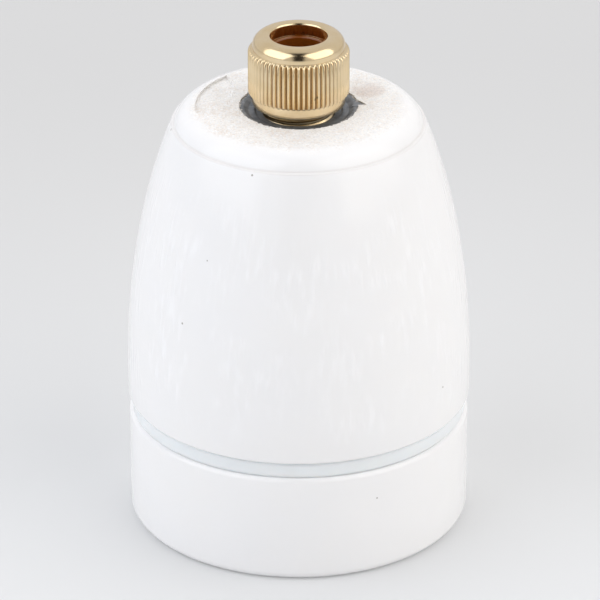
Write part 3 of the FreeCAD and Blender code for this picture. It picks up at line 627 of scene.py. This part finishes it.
def washer_seat(p):
    """Tool for the seat of the washer and its lug; its edge wanders as pressed clay does."""
    low = p.cap_top - p.seat
    high = p.cap_top + CLEAR
    tool = boolean(drum(p.seat_radius, low, high, 360), lug(1.2 * MM, low, high), "UNION")
    for vert in tool.verts:
        outward = Vector((vert.co.x, vert.co.y, 0)).normalized()
        ragged = sum(noise.noise(outward * lobes) for lobes in (30, 90, 220))
        vert.co += outward * 0.17 * MM * ragged
    return tool


def crescent_panel(p):
    """Tool for the bare panel: a lens between the disc's edge and a circle beside it."""
    low = p.cap_top - p.panel
    high = p.cap_top + CLEAR
    disc_edge = 14.3 * MM
    circle = 9.4 * MM
    offset = 19.2 * MM
    lens = drum(circle, low - MM, high + MM, offset=offset, angle=163.0)
    return boolean(drum(disc_edge, low, high), lens, "INTERSECT")


class MakePorcelainCap(bpy.types.Operator):
    """Make the glazed cap with its bare top disc, washer seat and bare crescent panel"""
    bl_idname = "lamp_holder.porcelain_cap"
    bl_label = "Porcelain cap"

    def execute(self, context):
        p = context.scene.lamp_holder_porcelain
        bm = turned(cap_outline(p), steps=256)
        bm = boolean(bm, washer_seat(p))
        bm = boolean(bm, crescent_panel(p))
        root = p.bore + 0.2 * MM
        crest = p.bore - 1.0 * MM
        land = [
            (root, 23.3 * MM), (crest, 23.7 * MM), (crest, 24.3 * MM), (root, 24.7 * MM),
        ]
        bm = merged(bm, ridge(land, p.pitch, turns=2.0))
        surface = bare_top_porcelain(p)
        finished(bm, "glazed_cap", "cap", ["porcelain_cap"], surface)
        return {"FINISHED"}


class MakePorcelainSkirt(bpy.types.Operator):
    """Make the glazed skirt ring with its open mouth and threaded neck"""
    bl_idname = "lamp_holder.porcelain_skirt"
    bl_label = "Porcelain skirt"

    def execute(self, context):
        p = context.scene.lamp_holder_porcelain
        neck_top = top("porcelain_skirt")
        bm = turned([
            (p.mouth, 0, 1.2 * MM), (p.skirt_radius, 0, 1.4 * MM),
            (p.skirt_radius, p.skirt_height, 0.7 * MM), (p.neck, p.skirt_height),
            (p.neck, neck_top, 0.5 * MM), (p.neck_bore, neck_top, 0.5 * MM),
            (p.neck_bore, p.throat, 2.5 * MM),
        ], steps=256, segments=8)
        root = p.neck - 0.2 * MM
        crest = p.neck + 1.0 * MM
        thread = [
            (root, 20.4 * MM), (crest, 20.9 * MM, 0.5 * MM), (crest, 22.7 * MM, 0.5 * MM),
            (root, 23.2 * MM),
        ]
        bm = merged(bm, ridge(thread, p.pitch, turns=2.1))
        surface = glazed_porcelain(p)
        finished(bm, "glazed_skirt", "skirt", ["porcelain_skirt"], surface)
        return {"FINISHED"}


class MakeSeal(bpy.types.Operator):
    """Make the milky seal ring in the groove between cap and skirt"""
    bl_idname = "lamp_holder.seal"
    bl_label = "Seal ring"

    def execute(self, context):
        low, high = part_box("seal_ring")
        inner = 19.4 * MM
        rounding = 0.5 * MM
        bm = turned([
            (inner, low.z), (high.x, low.z, rounding), (high.x, high.z, rounding),
            (inner, high.z),
        ], steps=256)
        finished(bm, "milky_seal", "skirt", ["seal_ring"], milky_silicone())
        return {"FINISHED"}


class MakeGripNut(bpy.types.Operator):
    """Make the knurled brass nut of the cord grip"""
    bl_idname = "lamp_holder.grip_nut"
    bl_label = "Cord grip nut"

    def execute(self, context):
        g = context.scene.lamp_holder_grip
        knurl_foot = g.foot + g.collar
        knurl_top = knurl_foot + g.knurl
        collar = g.radius - 0.55 * MM
        crown = g.radius - g.ledge
        lip = g.height - 1.8 * MM
        outline = [
            (M10_HOLE, g.foot, 0.3 * MM), (collar, g.foot, 0.25 * MM),
            (collar, knurl_foot - 0.15 * MM), (collar - 0.02 * MM, knurl_foot - 0.05 * MM),
            (g.radius - 0.15 * MM, knurl_foot), (g.radius, knurl_foot + 0.2 * MM),
            (g.radius, knurl_top - 0.45 * MM), (g.radius - 0.25 * MM, knurl_top - 0.15 * MM),
            (crown + 0.1 * MM, knurl_top), (crown, knurl_top + 0.05 * MM),
            (crown, g.height, g.crown), (g.bore, g.height, 0.3 * MM), (g.bore, lip),
            (M10_HOLE, lip),
        ]
        steps_per_ridge = 12
        bm = turned(outline, g.ridges * steps_per_ridge, 10)
        margin = 0.01 * MM
        for vert in bm.verts:
            radius = math.hypot(vert.co.x, vert.co.y)
            if not knurl_foot - margin < vert.co.z < knurl_top + margin:
                continue
            ridges_round = math.atan2(vert.co.y, vert.co.x) * g.ridges / (2 * math.pi)
            groove = math.sin(math.pi * ridges_round) ** 2
            pulled = min(radius, max(g.radius - g.depth * groove, crown))
            vert.co.x *= pulled / radius
            vert.co.y *= pulled / radius
        grooves = (knurl_foot, knurl_top - 0.2 * MM, g.radius - g.depth, g.radius - 0.2 * MM)
        surface = turned_brass(g.brass, grooves=grooves, nicks=NUT_NICKS)
        finished(bm, "knurled_nut", "grip_nut", ["cord_grip_nut"], surface, 40.0)
        return {"FINISHED"}


class MakeNipple(bpy.types.Operator):
    """Make the threaded brass nipple that the cord grip's nut runs on"""
    bl_idname = "lamp_holder.nipple"
    bl_label = "Nipple"

    def execute(self, context):
        brass = turned_brass(context.scene.lamp_holder_grip.brass, "threaded_brass", 0.22)
        low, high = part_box("cord_grip_nipple")
        core = high.x - 0.25 * MM
        bore = 3.85 * MM
        seat_foot = high.z - 4 * MM
        bm = turned([
            (bore, low.z, 0.2 * MM), (core, low.z, 0.2 * MM), (core, high.z), (4.6 * MM, high.z),
            (4.2 * MM, seat_foot), (bore, seat_foot),
        ], steps=96)
        root = core - 0.1 * MM
        thread = [(root, 52.2 * MM), (high.x, 52.7 * MM), (root, 53.15 * MM)]
        bm = merged(bm, ridge(thread, 1.0 * MM, turns=14.6, steps=48))
        finished(bm, "threaded_nipple", "cap", ["cord_grip_nipple"], brass, 25.0)
        return {"FINISHED"}


class MakeTopRing(bpy.types.Operator):
    """Make the dished dark washer with its pointed lug, and the insert with its rolled lip"""
    bl_idname = "lamp_holder.top_ring"
    bl_label = "Top washer and insert"

    def execute(self, context):
        p = context.scene.lamp_holder_porcelain
        surface = dusty_plate()
        floor = p.cap_top - p.seat
        rim = p.cap_top - 0.18 * MM
        washer_hole = 6.25 * MM
        washer_edge = 8.5 * MM
        washer = turned([
            (washer_hole, floor), (washer_edge, floor), (washer_edge, rim),
            (7.6 * MM, rim - 0.05 * MM, 0.4 * MM), (6.95 * MM, floor + 0.45 * MM, 0.2 * MM),
            (washer_hole, floor + 0.4 * MM),
        ])
        washer = boolean(washer, lug(1.15 * MM, floor, rim), "UNION")
        finished(
            washer, "dished_washer", "cap", ["top_washer"], surface, 30.0
        )
        low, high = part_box("thread_insert")
        sleeve = 6.2 * MM
        lip_edge = 6.75 * MM
        lip_foot = floor + 0.1 * MM
        lip_top = floor + 0.42 * MM
        mouth = floor + 0.15 * MM
        collar_top = low.z + 5 * MM
        insert = turned([
            (M10_HOLE, low.z, 0.15 * MM), (high.x, low.z, 0.15 * MM),
            (high.x, collar_top, 0.15 * MM), (sleeve, collar_top), (sleeve, lip_foot),
            (lip_edge, lip_foot), (lip_edge, lip_top, 0.14 * MM), (6.1 * MM, lip_top, 0.14 * MM),
            (5.9 * MM, mouth), (M10_HOLE, mouth),
        ])
        finished(
            insert, "rolled_insert", "cap", ["thread_insert"], surface, 30.0
        )
        return {"FINISHED"}


class DressInside(bpy.types.Operator):
    """Give the pieces inside the holder their own finishes"""
    bl_idname = "lamp_holder.inside"
    bl_label = "Inside pieces"

    def execute(self, context):
        drawn_brass = turned_brass("D9B26A", "drawn_brass", 0.28)
        finishes = {
            dull_metal("bright_zinc_plate", "B9BCC2", "9A9DA3", 0.32): [
                "live_clamp_plate", "neutral_clamp_plate", "live_clamp_screw",
                "neutral_clamp_screw", "shell_screws", "shell_nuts", "centre_contact_screw",
                "locking_screw",
            ],
            drawn_brass: ["live_terminal", "neutral_terminal", "contact_button"],
            pressed_solid("amber_nylon", "8F4E16", "713A0E", 0.08, 0.3): ["clamp_bush"],
            dull_metal("nickel_plated_brass", "CFCBC2", "B5AFA2", 0.22): ["screw_shell"],
            dull_metal("phosphor_bronze", "C58E5C", "A97345", 0.3): ["contact_leaf"],
            pressed_solid("pressed_steatite", "E9E4D8", "DDD6C7", 0.7, 0.3): ["contact_block"],
            pressed_solid("vulcanised_fibre", "8A3A28", "6F2C1E", 0.6, 0.4): ["fibre_washer"],
        }
        for surface, names in finishes.items():
            for name in names:
                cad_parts[name].data.materials.clear()
                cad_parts[name].data.materials.append(surface)
        return {"FINISHED"}


# --- stage ---------------------------------------------------------------------------
def camera():
    """Long lens from the front, a little above."""
    lens = bpy.data.cameras.new("camera")
    lens.lens = 314.1
    lens.sensor_width = 36.0
    lens.clip_start = 0.01
    lens.clip_end = 20.0
    made = bpy.data.objects.new("camera", lens)
    bpy.context.scene.collection.objects.link(made)
    bpy.context.scene.camera = made
    aim = Vector((0.18 * MM, 0, 31.75 * MM))
    raised = math.radians(26.3)
    distance = 0.735
    away = Vector((0, -math.cos(raised), math.sin(raised)))
    made.location = aim + away * distance
    made.rotation_euler = (-away).to_track_quat("-Z", "Y").to_euler()


def softbox(name, spot, size, watts, tint="FFFFFF"):
    """Oblong area light that faces the middle of the holder."""
    lamp = bpy.data.lights.new(name, "AREA")
    lamp.shape = "RECTANGLE"
    lamp.size, lamp.size_y = size
    lamp.energy = watts
    lamp.color = linear(tint)[:3]
    made = bpy.data.objects.new(name, lamp)
    bpy.context.scene.collection.objects.link(made)
    middle = Vector((0, 0, 0.04))
    made.location = spot
    made.rotation_euler = (Vector(spot) - middle).to_track_quat("Z", "Y").to_euler()
    return made


def studio_world():
    """Pale surroundings, brighter behind, with a dark gap in front between the softboxes."""
    world = bpy.data.worlds.new("studio")
    bpy.context.scene.world = world
    world.use_nodes = True
    tree = world.node_tree
    tree.nodes.clear()
    way = add(tree, "TexCoord").outputs["Generated"]
    sideways, backwards = add(tree, "SeparateXYZ", (way,)).outputs[:2]
    aside = add(tree, "Math", (sideways,), operation="ABSOLUTE")
    behind = mask(tree, (backwards, -0.3, 0.5))
    gap = mask(tree, (aside, 0.30, 0.16), (backwards, 0.10, -0.30))
    shade = layered(tree, "EAEAEC", (behind, 1.0, "F8F8FA"), (gap, 1.0, "24211E"))
    sky = add(tree, "Background", {"Color": shade, "Strength": 0.75})
    add(tree, "OutputWorld", {"Surface": sky})


def floor_material():
    """Pale matt floor, a little darker further back.

    It glows a little to the eye and in reflections, but throws no light on the holder.
    """
    made, tree = material("pale_floor")
    spot = add(tree, "TexCoord").outputs["Object"]
    depth = add(tree, "SeparateXYZ", (spot,)).outputs[1]
    back = mask(tree, (depth, -0.05, 0.16))
    lit = add(tree, "BsdfPrincipled", {
        "Base Color": layered(tree, "E2E3E4", (back, 1.0, "CFCFCF")), "Roughness": 0.6,
        "Specular IOR Level": 0.2,
    })
    glow = add(tree, "Emission", {
        "Color": layered(tree, "E6E7E8", (back, 1.0, "DEDEDE")), "Strength": 1.0,
    })
    rays = add(tree, "LightPath").outputs
    seen = rays["Is Camera Ray"]
    for kind in ("Is Glossy Ray", "Is Transmission Ray"):
        seen = add(tree, "Math", (seen, rays[kind]), operation="MAXIMUM")
    share = add(tree, "Math", (seen, 0.2), operation="MULTIPLY")
    both = add(tree, "MixShader", (share, lit, glow))
    add(tree, "OutputMaterial", {"Surface": both})
    return made


class MakeStage(bpy.types.Operator):
    """Make the pale floor, the soft lights and the camera"""
    bl_idname = "lamp_holder.stage"
    bl_label = "Stage"

    def execute(self, context):
        bm = bmesh.new()
        bmesh.ops.create_circle(bm, cap_ends=True, segments=64, radius=4.0)
        mesh = bpy.data.meshes.new("floor")
        bm.to_mesh(mesh)
        bm.free()
        floor = bpy.data.objects.new("floor", mesh)
        context.scene.collection.objects.link(floor)
        mesh.materials.append(floor_material())
        for name, side, tint in (("left_box", -0.62, "F6F9FF"), ("right_box", 0.62, "FFFBF6")):
            softbox(name, (side, -0.30, 0.55), size=(1.0, 1.0), watts=4.05, tint=tint)
        back = softbox("back_box", (0.0, 0.55, 0.62), size=(1.0, 0.5), watts=1.65)
        # Its reflection would be a hard bright bar on the glaze and the brass.
        back.visible_glossy = False
        studio_world()
        camera()
        context.scene.view_settings.view_transform = "Standard"
        return {"FINISHED"}


PIECES = (
    MakePorcelainCap, MakePorcelainSkirt, MakeSeal, MakeGripNut, MakeNipple, MakeTopRing,
    DressInside, MakeStage,
)


class LampHolderPanel(bpy.types.Panel):
    """Lists the pieces and the stage"""
    bl_idname = "VIEW3D_PT_lamp_holder"
    bl_label = "Lamp holder"
    bl_space_type = "VIEW_3D"
    bl_region_type = "UI"
    bl_category = "Lamp holder"

    def draw(self, context):
        for piece in PIECES:
            self.layout.operator(piece.bl_idname)


GROUPS = {"lamp_holder_porcelain": LampHolderPorcelain, "lamp_holder_grip": LampHolderGrip}


def register():
    for cls in (*GROUPS.values(), *PIECES, LampHolderPanel):
        bpy.utils.register_class(cls)
    for name, group in GROUPS.items():
        setattr(bpy.types.Scene, name, bpy.props.PointerProperty(type=group))


def unregister():
    for name in GROUPS:
        delattr(bpy.types.Scene, name)
    for cls in reversed((*GROUPS.values(), *PIECES, LampHolderPanel)):
        bpy.utils.unregister_class(cls)


def main():
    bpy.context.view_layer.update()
    register()
    for piece in PIECES:
        group, name = piece.bl_idname.split(".")
        getattr(getattr(bpy.ops, group), name)()


if __name__ == "__main__":
    main()
